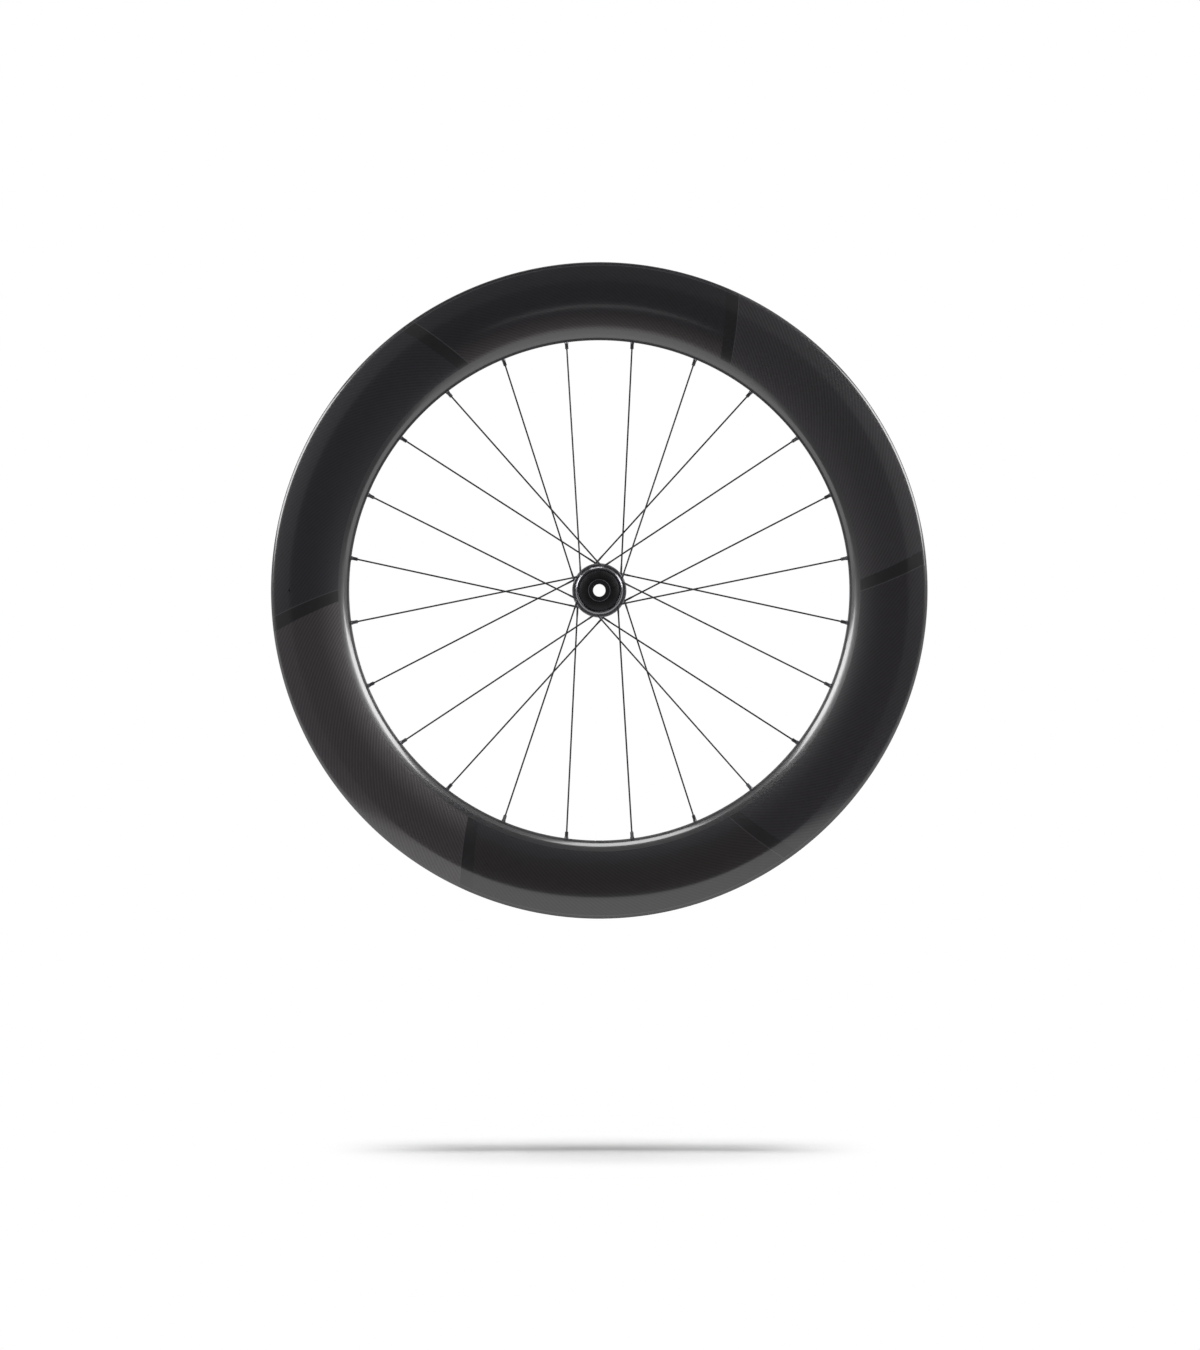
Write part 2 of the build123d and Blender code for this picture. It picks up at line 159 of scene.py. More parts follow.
def white_floor():
    """Matt white paper that takes a shadow near the wheel and turns to plain backdrop white further out."""
    material, tree, paper = finish_named("Matt white paper")
    paper.inputs["Base Color"].default_value = linear(FLOOR_COLOUR)
    paper.inputs["Roughness"].default_value = 1.0
    paper.inputs["Specular IOR Level"].default_value = 0.0
    place = add(tree, "TexCoord").outputs["Object"]
    distance = add(tree, "VectorMath", {0: place}, operation="LENGTH").outputs["Value"]
    far = add(tree, "MapRange", {
        "Value": distance, "From Min": FLOOR_LIT_RADIUS, "From Max": FLOOR_FADE_RADIUS,
    }, interpolation_type="SMOOTHSTEP").outputs["Result"]
    backdrop = add(tree, "Emission", {"Strength": 1.0})
    both = add(tree, "MixShader", {0: far, 1: paper.outputs["BSDF"], 2: backdrop.outputs["Emission"]})
    tree.links.new(both.outputs["Shader"], tree.nodes["Material Output"].inputs["Surface"])
    return material


floor_mesh = bmesh.new()
bmesh.ops.create_circle(floor_mesh, cap_ends=True, segments=FLOOR_SEGMENTS, radius=FLOOR_RADIUS)
floor_data = bpy.data.meshes.new("floor")
floor_mesh.to_mesh(floor_data)
floor_mesh.free()
floor_data.materials.append(white_floor())
floor = bpy.data.objects.new("floor", floor_data)
floor.location.z = FLOOR_Z
bpy.context.scene.collection.objects.link(floor)
floor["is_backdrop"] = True
print("floor:", round(-FLOOR_Z / MM), "mm under the axle")

# %% [markdown]
# ## The light
# The room looks plain white, also in a mirror, but it lights the wheel only dimly. One lamp overhead does
# the rest and casts the shadow. It is wide, so the shadow is soft, and it leans a little, so that the
# shadow falls slightly forward as in the picture. An area lamp could do this too, but a sun lights the
# wheel and the floor evenly. Together they keep a colour at about the value that it is written with.

# %% World and lamps
# The strengths of the room's light and of the lamp, then the lamp's spread and lean in degrees.
WORLD_LIGHT = 0.18
OVERHEAD_LIGHT = 2.85
OVERHEAD_SPREAD = 17.0
OVERHEAD_TILT = 3.5

world = bpy.data.worlds.new("white room")
world.use_nodes = True
bpy.context.scene.world = world
sky = world.node_tree
rays = add(sky, "LightPath").outputs
seen = add(sky, "Math", {0: rays["Is Camera Ray"], 1: rays["Is Glossy Ray"]}, operation="MAXIMUM")
seen = add(sky, "Math", {0: seen.outputs[0], 1: rays["Is Transmission Ray"]}, operation="MAXIMUM")
strength = add(sky, "MapRange", {"Value": seen.outputs[0], "To Min": WORLD_LIGHT, "To Max": 1.0})
sky.nodes["Background"].inputs["Color"].default_value = (1, 1, 1, 1)
sky.links.new(strength.outputs["Result"], sky.nodes["Background"].inputs["Strength"])

overhead_data = bpy.data.lights.new("overhead", "SUN")
overhead_data.energy = OVERHEAD_LIGHT
overhead_data.angle = radians(OVERHEAD_SPREAD)
overhead = bpy.data.objects.new("overhead", overhead_data)
overhead.rotation_euler.x = -radians(OVERHEAD_TILT)
overhead.visible_glossy = False
bpy.context.scene.collection.objects.link(overhead)

# %% [markdown]
# ## Panels, flags and cloths
# A dark glossy thing is lit by what it mirrors, so a photographer hangs bright panels where highlights
# should run and dark cloths where the surface should stay black. Three tall panels stand at the left, at
# the right and above. Straight ahead hangs a black cloth before a wide grey one, and small black flags
# near the wheel trim single reflections. The same set stands behind the wheel, so its back is lit like its
# front. A picture of such a room could do the same, but cards can be moved one by one. They show only in
# reflections.

# %% Panels, flags and cloths
# Distances and sizes are in metres, and angles in degrees.
PANEL_DISTANCE = 3.0
# Each panel has a clock angle, an angle off the axle, its sizes and how bright it is.
PANELS = {
    "left_panel": (293.0, 53.6, (1.25, 2.15), 7.8),
    "right_panel": (65.0, 53.6, (1.4, 2.15), 7.8),
    "top_panel": (353.0, 57.5, (1.35, 1.97), 5.5),
}
# Small black flags near the wheel. The top one hides the top panel from the rim's lip, the low one hides
# the floor from its nose, and the side ones hide the floor from its lower flanks.
# Each has a clock angle, an angle off the axle, a distance and its sizes.
FLAGS = {
    "top_flag": (353.0, 75.4, 0.442, (0.5, 0.125)),
    "low_flag": (180.0, 5.7, 0.804, (0.7, 0.28)),
    "left_flag": (235.0, 22.1, 1.55, (0.64, 0.64)),
    "right_flag": (125.0, 22.1, 1.55, (0.64, 0.64)),
}
# A black cloth stands before a wider grey one. Each has a distance, its sizes and how bright it is.
CLOTHS = {
    "grey_cloth": (3.8, (24.0, 12.0), 0.5),
    "black_cloth": (3.4, (4.1, 3.2), 0.04),
}

wheel_axis = Vector((0, 1, 0))


def glowing(name, brightness):
    """A surface of one even brightness, as a lit panel or a dark cloth is to a mirror."""
    material, tree, _ = finish_named(name)
    light = add(tree, "Emission", {"Strength": brightness})
    tree.links.new(light.outputs["Emission"], tree.nodes["Material Output"].inputs["Surface"])
    return material


def reflected_card(name, clock, off_axis, distance, size, material):
    """A flat card that faces the wheel and shows only in its reflections."""
    outward = Vector((sin(radians(clock)), 0, cos(radians(clock))))
    around = Vector((cos(radians(clock)), 0, -sin(radians(clock))))
    place = (outward * sin(radians(off_axis)) - wheel_axis * cos(radians(off_axis))) * distance
    facing = -place.normalized()
    turn = Matrix((around, facing.cross(around), facing)).transposed().to_4x4()
    half_width, half_height = size[0] / 2, size[1] / 2
    corners = [(-half_width, -half_height, 0), (half_width, -half_height, 0)]
    corners += [(half_width, half_height, 0), (-half_width, half_height, 0)]
    mesh = bpy.data.meshes.new(name)
    mesh.from_pydata(corners, [], [(0, 1, 2, 3)])
    mesh.materials.append(material)
    card = bpy.data.objects.new(name, mesh)
    card.matrix_world = Matrix.Translation(place) @ turn
    card.visible_camera = False
    card.visible_diffuse = False
    card.visible_shadow = False
    bpy.context.scene.collection.objects.link(card)
    card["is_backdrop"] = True
    return card


card_finishes = {name: glowing(name, row[-1]) for name, row in (PANELS | CLOTHS).items()}
black = card_finishes["black_cloth"]
for side, from_axis in (("front", lambda angle: angle), ("back", lambda angle: 180 - angle)):
    for name, (clock, off_axis, size, _) in PANELS.items():
        angle = from_axis(off_axis)
        reflected_card(side + "_" + name, clock, angle, PANEL_DISTANCE, size, card_finishes[name])
    for name, (clock, off_axis, distance, size) in FLAGS.items():
        reflected_card(side + "_" + name, clock, from_axis(off_axis), distance, size, black)
    for name, (distance, size, _) in CLOTHS.items():
        cloth = reflected_card(side + "_" + name, 0, from_axis(0), distance, size, card_finishes[name])
        cloth.location.z = FLOOR_Z + size[1] / 2

# %% [markdown]
# ## The rim's section
# A deep rim is one hollow moulding. Its section runs from a round nose, which meets the air last, over a
# cheek to almost flat walls, widest a little over a quarter of the way down from the tyre, and closes in
# to two thin lips with a bed for the tyre's beads between. A drawn curve could follow it, but the outline
# is really a chain of arcs that leave each other without a corner, so it is written as such: a point is a
# complex number, radius plus place along the axle, and an arc needs only a start, a heading and an end.

# %% Arcs
def arc_by_turn(start, heading, radius, turn, steps):
    """Points after the start on an arc that turns by a signed angle, and the heading it ends with."""
    signed = radius if turn > 0 else -radius
    turns = [cmath.exp(1j * turn * k / steps) for k in range(1, steps + 1)]
    return [start + heading * signed * (t - 1) / 1j for t in turns], heading * turns[-1]


def arc_to(start, heading, end, steps):
    """Points after the start on the arc that leaves along a heading to an end, and its last heading."""
    chord = end - start
    half_turn = cmath.phase(chord / heading)
    return arc_by_turn(start, heading, abs(chord / (2 * sin(half_turn))), 2 * half_turn, steps)


print("a half turn of radius 1 ends at:", np.round(arc_by_turn(0, 1, 1, pi, 4)[0][-1], 3))

# %% Rim section
# Millimetres, degrees, and the number of steps that each arc is drawn with.
NOSE_BELOW_TIP = 75.0
NOSE_ARC = 6.0
NOSE_TURN = 45.0
NOSE_STEPS = 10
CHEEK_ARC = 12.0
CHEEK_TURN = 25.0
CHEEK_STEPS = 10
WIDEST_BELOW_TIP = 21.0
HALF_WIDTH = rim_high.y / MM
WALL_STEPS = 22
SHOULDER_ARC = 40.0
SHOULDER_TURN = 6.0
SHOULDER_STEPS = 6
FLANK_TURN = 2.5
FLANK_STEPS = 6
LIP_HEIGHT = 2.5
LIP_STEPS = 8
TIP_LAND = 0.5
BEAD_HALF = 11.5
BEAD_BELOW_TIP = 6.0
HOOK_DEPTH = 0.5
HOOK_HEIGHT = 1.6
SHELF_WIDTH = 3.6
HUMP_HEIGHT = 0.6
HUMP_WIDTH = 0.7
WELL_DEPTH = 3.0
WELL_HALF = 4.7

nose_radius = tip_radius - NOSE_BELOW_TIP
bead_radius = tip_radius - BEAD_BELOW_TIP
well_radius = bead_radius - WELL_DEPTH


def rim_half_section():
    """The rim's outline on one side of its middle plane, from the nose to the middle of the tyre bed."""
    start = complex(nose_radius, 0)
    nose, heading = arc_by_turn(start, 1j, NOSE_ARC, -radians(NOSE_TURN), NOSE_STEPS)
    cheek, heading = arc_by_turn(nose[-1], heading, CHEEK_ARC, -radians(CHEEK_TURN), CHEEK_STEPS)
    widest = complex(tip_radius - WIDEST_BELOW_TIP, HALF_WIDTH)
    wall, heading = arc_to(cheek[-1], heading, widest, WALL_STEPS)
    lean = radians(SHOULDER_TURN)
    shoulder, heading = arc_by_turn(wall[-1], heading, SHOULDER_ARC, -lean, SHOULDER_STEPS)
    rise = tip_radius - LIP_HEIGHT - shoulder[-1].real
    flank_arc = rise / (sin(lean + radians(FLANK_TURN)) - sin(lean))
    flank, heading = arc_by_turn(shoulder[-1], heading, flank_arc, -radians(FLANK_TURN), FLANK_STEPS)
    lip, _ = arc_to(flank[-1], heading, complex(tip_radius, BEAD_HALF + TIP_LAND), LIP_STEPS)
    hump = BEAD_HALF - SHELF_WIDTH
    return [
        start, *nose, *cheek, *wall, *shoulder, *flank, *lip,
        complex(tip_radius, BEAD_HALF),
        complex(tip_radius - HOOK_DEPTH, BEAD_HALF - HOOK_DEPTH),
        complex(tip_radius - HOOK_HEIGHT, BEAD_HALF - HOOK_DEPTH),
        complex(tip_radius - HOOK_HEIGHT - HOOK_DEPTH, BEAD_HALF),
        complex(bead_radius, BEAD_HALF),
        complex(bead_radius, hump),
        complex(bead_radius + HUMP_HEIGHT, hump - HUMP_WIDTH / 2),
        complex(bead_radius, hump - HUMP_WIDTH),
        complex(well_radius, WELL_HALF),
        complex(well_radius, 0),
    ]


half_section = rim_half_section()
half_width = max(p.imag for p in half_section)
print("rim section points:", len(half_section), "largest half width:", round(half_width, 2), "mm")

# %% [markdown]
# ## The rim's skin
# The section is spun round the axle in many steps, so that the gloss runs smoothly. A modifier could do
# it, but the carbon needs to know where it is on the rim, so the mesh is made directly and carries its own
# map: across it, the number of carbon panels passed since the first joint, and up it, the distance walked
# along the section from the nose. Six panels go round, and their joints lean as they go outward.

# %% Rim lathe
RIM_STEPS = 420
PANEL_COUNT = 6
# Degrees: the first joint's clock angle, and how far the joints lean.
FIRST_JOINT = 26.8
JOINT_LEAN = 22.0

mid_depth_radius = tip_radius - NOSE_BELOW_TIP / 2


def panels_passed(angle, radius):
    """Panels between the first joint and a clock angle, on joints that lean back as they go outward."""
    lean = degrees(atan2((radius - mid_depth_radius) * sin(radians(JOINT_LEAN)), mid_depth_radius))
    return (angle + lean - FIRST_JOINT) * PANEL_COUNT / 360


def both_halves(half):
    """A closed section, from its half on one side of the middle plane."""
    return half + [p.conjugate() for p in half[-2:0:-1]]


def spun(name, section, steps, walked=None):
    """A closed section spun round the axle. Walked distances along the section make the panel map."""
    count = len(section)
    angles = [2 * pi * k / steps for k in range(steps)]
    radius = np.array([p.real for p in section]) * MM
    places = np.empty((steps, count, 3))
    places[:, :, 0] = np.outer(np.sin(angles), radius)
    places[:, :, 1] = np.array([p.imag for p in section]) * MM
    places[:, :, 2] = np.outer(np.cos(angles), radius)
    step, point = np.meshgrid(np.arange(steps), np.arange(count), indexing="ij")
    next_step, next_point = (step + 1) % steps, (point + 1) % count
    corners = [(step, point), (step, next_point), (next_step, next_point), (next_step, point)]
    faces = np.stack([s * count + p for s, p in corners], axis=-1).reshape(-1, 4)
    mesh = bpy.data.meshes.new(name)
    mesh.from_pydata(places.reshape(-1, 3).tolist(), [], faces.tolist())
    if walked is not None:
        degree = 360 / steps
        rows = range(steps + 1)
        passed = np.array([[panels_passed(k * degree, p.real) for p in section] for k in rows])
        ends = [(step, point), (step, next_point), (step + 1, next_point), (step + 1, point)]
        across = np.stack([passed[s, p] for s, p in ends], axis=-1)
        low, high = np.array(walked).T
        up = np.stack([low[point], high[point], high[point], low[point]], axis=-1)
        layer = mesh.uv_layers.new(name="panels")
        layer.data.foreach_set("uv", np.stack([across, up], axis=-1).astype(np.float32).ravel())
    piece = bpy.data.objects.new(name, mesh)
    bpy.context.scene.collection.objects.link(piece)
    return piece


walk_from_nose = np.cumsum([0] + [abs(b - a) for a, b in zip(half_section, half_section[1:])]) * MM
walked = list(zip(walk_from_nose, walk_from_nose[1:]))
walked += [(-b, -a) for a, b in reversed(walked)]
rim_piece = spun("carbon_rim", both_halves(half_section), RIM_STEPS, walked)
print("rim faces:", len(rim_piece.data.polygons))

# %% [markdown]
# ## The hollow
# The moulding is hollow between its spoke bed and its tyre bed. A Boolean could cut the hollow out, but
# the hollow meets the outside nowhere yet, so an inner skin turned inside out is enough. Its outline is
# the rim's own, set in by the thickness of the walls.

# %% Rim hollow
# Millimetres: how thick the side walls, the tyre bed, the corners beside it and the spoke bed are.
SIDE_WALL = 1.2
BED_WALL = 1.8
FLANGE_ROOT = 2.4
SPOKE_BED = 4.0
HOLLOW_STEPS = 180


def hollow_half_section():
    """The hollow's outline on one side of the middle plane: the outer walls set in by their thickness."""
    low, high = nose_radius + SPOKE_BED, bead_radius - BED_WALL - FLANGE_ROOT
    walls = []
    for before, point, after in zip(half_section, half_section[1:], half_section[2:]):
        along = (after - before) / abs(after - before)
        inner = point - 1j * along * SIDE_WALL
        if low < inner.real < high and point.imag > BEAD_HALF / 2 and along.real > 0:
            walls.append(inner)
    bed = bead_radius - BED_WALL
    well = well_radius - BED_WALL
    ceiling = [complex(high, walls[-1].imag), complex(bed, BEAD_HALF - SHELF_WIDTH)]
    ceiling += [complex(well, WELL_HALF), complex(well, 0)]
    return [complex(low, 0), complex(low, walls[0].imag), *walls, *ceiling]


hollow = spun("hollow", both_halves(hollow_half_section()), HOLLOW_STEPS)
moulding = bmesh.new()
moulding.from_mesh(hollow.data)
bmesh.ops.reverse_faces(moulding, faces=moulding.faces)
moulding.from_mesh(rim_piece.data)
moulding.to_mesh(rim_piece.data)
moulding.free()
bpy.data.objects.remove(hollow)
print("rim:", len(rim_piece.data.polygons), "faces with its hollow")

# %% [markdown]
# ## The holes
# The holes are drilled as they are in the factory: a leaning one for every nipple, a wide one above it in
# the tyre bed for putting the nipple in, one for the valve and a tiny one in the side wall that lets water
# out. They could be left out of the mesh face by face, but a Boolean modifier drills them all at once and
# keeps the map. The spokes of the frame say where the nipples point.

# %% Drilling helpers
DRILL_SEGMENTS = 28
# Degrees. Where faces meet at more than this, the edge stays crisp.
SHARP_EDGE = 32.0


def spoke_line(node):
    """The line through the middle of a spoke's solid: its two ends, the hub's first."""
    points = np.array([v.co for v in node.data.vertices])
    middle = points.mean(0)
    along = np.linalg.svd(points - middle, full_matrices=False)[2][0]
    reach = (points - middle) @ along
    ends = [Vector(middle + along * reach.min()), Vector(middle + along * reach.max())]
    return sorted(ends, key=lambda end: end.length)


def at_clock(angle, radius):
    """A point in the rim's middle plane, from its clock angle and radius in millimetres."""
    return Vector((sin(radians(angle)), 0, cos(radians(angle)))) * radius * MM


def add_drill(cutter, start, end, radius, end_radius=None):
    """Adds a drill's cylinder, or a cone, between two points."""
    along = end - start
    turn = along.to_track_quat("Z", "Y").to_matrix().to_4x4()
    bmesh.ops.create_cone(
        cutter, cap_ends=True, segments=DRILL_SEGMENTS, depth=along.length, radius1=radius * MM,
        radius2=(end_radius or radius) * MM, matrix=Matrix.Translation((start + end) / 2) @ turn,
    )


def drill_out(piece, cutter):
    """Takes the drills' volume out of a piece, and leaves its mesh as plain faces."""
    tool_mesh = bpy.data.meshes.new("drills")
    cutter.to_mesh(tool_mesh)
    cutter.free()
    tool = bpy.data.objects.new("drills", tool_mesh)
    bpy.context.scene.collection.objects.link(tool)
    cut = piece.modifiers.new("holes", "BOOLEAN")
    cut.operation = "DIFFERENCE"
    cut.solver = "MANIFOLD"
    cut.object = tool
    bpy.context.view_layer.update()
    evaluated = piece.evaluated_get(bpy.context.evaluated_depsgraph_get())
    result = bpy.data.meshes.new_from_object(evaluated)
    piece.modifiers.clear()
    piece.data = result
    bpy.data.objects.remove(tool)


def smooth_but_edges(piece):
    """Smooth shading that keeps the real edges crisp."""
    piece.data.polygons.foreach_set("use_smooth", [True] * len(piece.data.polygons))
    piece.data.set_sharp_from_angle(angle=radians(SHARP_EDGE))


spoke_lines = {n: spoke_line(o) for n, o in sorted(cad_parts.items()) if "_spoke_" in n}
print("spoke lines:", len(spoke_lines))

# %% Rim holes
# Millimetres and degrees. A reach says how far a drill starts before its mark and how far it ends after
# it. The marks are the spoke's outer end, the well of the tyre bed and, for the weep, the middle plane.
NIPPLE_HOLE_RADIUS = 2.15
NIPPLE_REACH = (12.0, 3.0)
ACCESS_HOLE_RADIUS = 4.0
ACCESS_REACH = (4.0, 2.0)
VALVE_ANGLE = 180.0
VALVE_HOLE_RADIUS = 3.25
VALVE_BEFORE_NOSE = 5.0
VALVE_MOUTH_RADIUS = 4.7
VALVE_MOUTH_DEPTH = 1.45
WEEP_ANGLE = 270.0
WEEP_HOLE_RADIUS = 0.85
WEEP_BELOW_TIP = 18.0
WEEP_REACH = (20.0, -8.0)

drills = bmesh.new()
for near_hub, near_rim in spoke_lines.values():
    along = (near_rim - near_hub).normalized()
    before, after = (reach * MM * along for reach in NIPPLE_REACH)
    add_drill(drills, near_rim - before, near_rim + after, NIPPLE_HOLE_RADIUS)
    clock = degrees(atan2(near_rim.x, near_rim.z))
    access_start = at_clock(clock, well_radius - ACCESS_REACH[0])
    access_end = at_clock(clock, well_radius + ACCESS_REACH[1])
    add_drill(drills, access_start, access_end, ACCESS_HOLE_RADIUS)
valve_start = at_clock(VALVE_ANGLE, nose_radius - VALVE_BEFORE_NOSE)
add_drill(drills, valve_start, at_clock(VALVE_ANGLE, tip_radius), VALVE_HOLE_RADIUS)
mouth_start = at_clock(VALVE_ANGLE, nose_radius)
mouth_end = at_clock(VALVE_ANGLE, nose_radius + VALVE_MOUTH_DEPTH)
add_drill(drills, mouth_start, mouth_end, VALVE_MOUTH_RADIUS, VALVE_HOLE_RADIUS)
weep = at_clock(WEEP_ANGLE, tip_radius - WEEP_BELOW_TIP)
weep_start = weep - wheel_axis * WEEP_REACH[0] * MM
weep_end = weep + wheel_axis * WEEP_REACH[1] * MM
add_drill(drills, weep_start, weep_end, WEEP_HOLE_RADIUS)
drill_out(rim_piece, drills)
smooth_but_edges(rim_piece)
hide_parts("rim")
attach(rim_piece, "wheel")
print("rim:", len(rim_piece.data.polygons), "faces after drilling")

# %% [markdown]
# ## Clear-coated carbon
# The rim is moulded from woven carbon fibre in resin and sprayed with a clear coat. The fibres are nearly
# black and only glint where they catch light along their length, so neighbouring panels, cut at other
# angles from the same cloth, differ a little in tone. Where two panels meet they overlap in a dark leaning
# band with a fine bright edge, and another fine line runs round the rim where the cloth ends at the lip.
# A photo of cloth could be wrapped round, but it would blur up close and carry its own light. So waves
# along the panel map draw the weave at its size, as a faint bump under a coat that itself stays smooth,
# and as a painted glint that makes the cloth's colour lighter on the weave's ribs.

# %% Twill weave
# The tows of this thin cloth are 0.8 mm wide. They are drawn at 1.2 mm, which sets the twill's ribs 3.4 mm
# apart, so that the weave still shows in a picture where a pixel is about a millimetre.
TOW_WIDTH = 1.2
RIB_TOWS = 4
FLOAT_TOWS = 2
# How much of a rib's height is left where a tow dives under its neighbours.
DIVE_HEIGHT = 0.4

panel_length = 2 * pi * mid_depth_radius / PANEL_COUNT


def twill_weave(tree, panels, walk):
    """The height of the weave, from -1 to 1: ribs across the tows, lower where the tows dive under."""
    warp = add(tree, "Math", {0: panels, 1: panel_length / TOW_WIDTH}, operation="MULTIPLY").outputs[0]
    weft = add(tree, "Math", {0: walk, 1: 1 / (TOW_WIDTH * MM)}, operation="MULTIPLY").outputs[0]
    across = add(tree, "Math", {0: warp, 1: weft}, operation="SUBTRACT").outputs[0]
    across = add(tree, "Math", {0: across, 1: 2 * pi / RIB_TOWS}, operation="MULTIPLY").outputs[0]
    along = add(tree, "Math", {0: warp, 1: weft}, operation="ADD").outputs[0]
    along = add(tree, "Math", {0: along, 1: 2 * pi / FLOAT_TOWS}, operation="MULTIPLY").outputs[0]
    rib = add(tree, "Math", {0: across}, operation="SINE").outputs[0]
    dive = add(tree, "Math", {0: along}, operation="SINE").outputs[0]
    swell = add(tree, "MapRange", {"Value": dive, "From Min": -1.0, "To Min": DIVE_HEIGHT})
    return add(tree, "Math", {0: rib, 1: swell.outputs["Result"]}, operation="MULTIPLY").outputs[0]


print("twill ribs:", round(TOW_WIDTH * RIB_TOWS / 2 ** 0.5, 1), "mm apart")

# %% Panel tones and joints
# Each panel has one tone towards the nose and one towards the tyre, and the tone changes between the two
# radii. Towards the nose some panels are lighter, most of all the top one and the lower left one: that is
# painted sheen, the floor and the right light panel mirrored in the inner wall there. The weave makes the
# tone lighter and darker by the glint's share, a painted glint on its ribs. Sizes are in millimetres.
TONE_AND_SHEEN_FADE = (256.0, 277.0)
INNER_TONES_WITH_SHEEN = ["#2f2b2f", "#201c22", "#1a171e", "#474243", "#1d1a22", "#312c2c"]
OUTER_TONES = ["#2c292d", "#201c22", "#1e1919", "#373235", "#1d1a22", "#16131b"]
WEAVE_GLINT = 0.38
OVERLAP_WIDTH = 12.5
OVERLAP_TONE = "#0e0c12"
LINE_WIDTH = 0.9
LINE_TONE = "#3a373b"
CLOTH_END_BELOW_TIP = 3.0

tip_index = max(range(len(half_section)), key=lambda i: half_section[i].real)
wall_radii = [p.real for p in half_section[:tip_index + 1]]


def walk_to(radius):
    """How far along the section from the nose a radius on the side wall lies, in metres."""
    return float(np.interp(radius, wall_radii, walk_from_nose[:tip_index + 1]))


def panel_tones(tree, panel, tones):
    """The tone of each panel, picked by its number."""
    middle = 0.5 / PANEL_COUNT
    share = add(tree, "Math", {0: panel, 1: 1 / PANEL_COUNT, 2: middle}, operation="MULTIPLY_ADD")
    ramp = add(tree, "ValToRGB", {0: share.outputs[0]})
    ramp.color_ramp.interpolation = "CONSTANT"
    for i, tone in enumerate(tones):
        stop = ramp.color_ramp.elements.new(i / PANEL_COUNT) if i else ramp.color_ramp.elements[0]
        stop.color = linear(tone)
    ramp.color_ramp.elements[-1].color = linear(tones[-1])
    return ramp.outputs[0]


def cloth_colour(tree, panels, from_nose, weave):
    """The colour of the cloth: its panel's tone with a painted sheen towards the nose, and a painted glint
    on the weave's ribs.
    """
    panel = add(tree, "Math", {0: panels}, operation="FLOOR").outputs[0]
    panel = add(tree, "Math", {0: panel, 1: PANEL_COUNT}, operation="FLOORED_MODULO").outputs[0]
    outward = add(tree, "MapRange", {
        "Value": from_nose, "From Min": walk_to(TONE_AND_SHEEN_FADE[0]), "From Max": walk_to(TONE_AND_SHEEN_FADE[1]),
    }, interpolation_type="SMOOTHSTEP").outputs["Result"]
    # On some panels the tones towards the nose carry a painted sheen.
    inner, outer = panel_tones(tree, panel, INNER_TONES_WITH_SHEEN), panel_tones(tree, panel, OUTER_TONES)
    tone = add(tree, "Mix", {0: outward, 6: inner, 7: outer}, data_type="RGBA").outputs[2]
    # A painted glint: the cloth's colour lighter on the weave's ribs and darker between them.
    glint = add(tree, "MapRange", {
        "Value": weave, "From Min": -1.0, "To Min": 1 - WEAVE_GLINT, "To Max": 1 + WEAVE_GLINT,
    }).outputs["Result"]
    return add(tree, "Mix", {0: 1.0, 6: tone, 7: glint}, data_type="RGBA", blend_type="MULTIPLY").outputs[2]


def with_joints(tree, panels, from_nose, cloth):
    """The cloth's colour with the dark overlaps of its panels and the fine lines where it ends."""
    from_joint = add(tree, "Math", {0: panels, 1: 0.5, 2: -0.5}, operation="WRAP").outputs[0]
    from_joint = add(tree, "Math", {0: from_joint, 1: panel_length}, operation="MULTIPLY").outputs[0]
    off_middle = add(tree, "Math", {0: from_joint}, operation="ABSOLUTE").outputs[0]
    overlap = add(tree, "Math", {0: off_middle, 1: OVERLAP_WIDTH / 2}, operation="LESS_THAN").outputs[0]
    overlap_edge = add(tree, "Math", {
        0: from_joint, 1: OVERLAP_WIDTH / 2, 2: LINE_WIDTH / 2,
    }, operation="COMPARE").outputs[0]
    cloth_end = add(tree, "Math", {
        0: from_nose, 1: walk_to(tip_radius - CLOTH_END_BELOW_TIP), 2: LINE_WIDTH / 2 * MM,
    }, operation="COMPARE").outputs[0]
    line = add(tree, "Math", {0: overlap_edge, 1: cloth_end}, operation="MAXIMUM").outputs[0]
    joined = add(tree, "Mix", {0: overlap, 6: cloth, 7: linear(OVERLAP_TONE)}, data_type="RGBA").outputs[2]
    return add(tree, "Mix", {0: line, 6: joined, 7: linear(LINE_TONE)}, data_type="RGBA").outputs[2]


print("carbon panels:", PANEL_COUNT, "of", round(panel_length), "mm")

# %% Twill carbon
# Black fibres in resin under a sprayed coat: the coat gives a sharp, bright gloss, and the fibres below
# a wider and weaker one. The weave's depth is in millimetres.
TWILL_ROUGHNESS = 0.36
TWILL_MIRROR = 0.3
WEAVE_DEPTH = 0.02
COAT_ROUGHNESS = 0.13
COAT_IOR = 1.7


def clear_coat(surface):
    """The sprayed gloss coat over carbon."""
    surface.inputs["Coat Weight"].default_value = 1.0
    surface.inputs["Coat Roughness"].default_value = COAT_ROUGHNESS
    surface.inputs["Coat IOR"].default_value = COAT_IOR


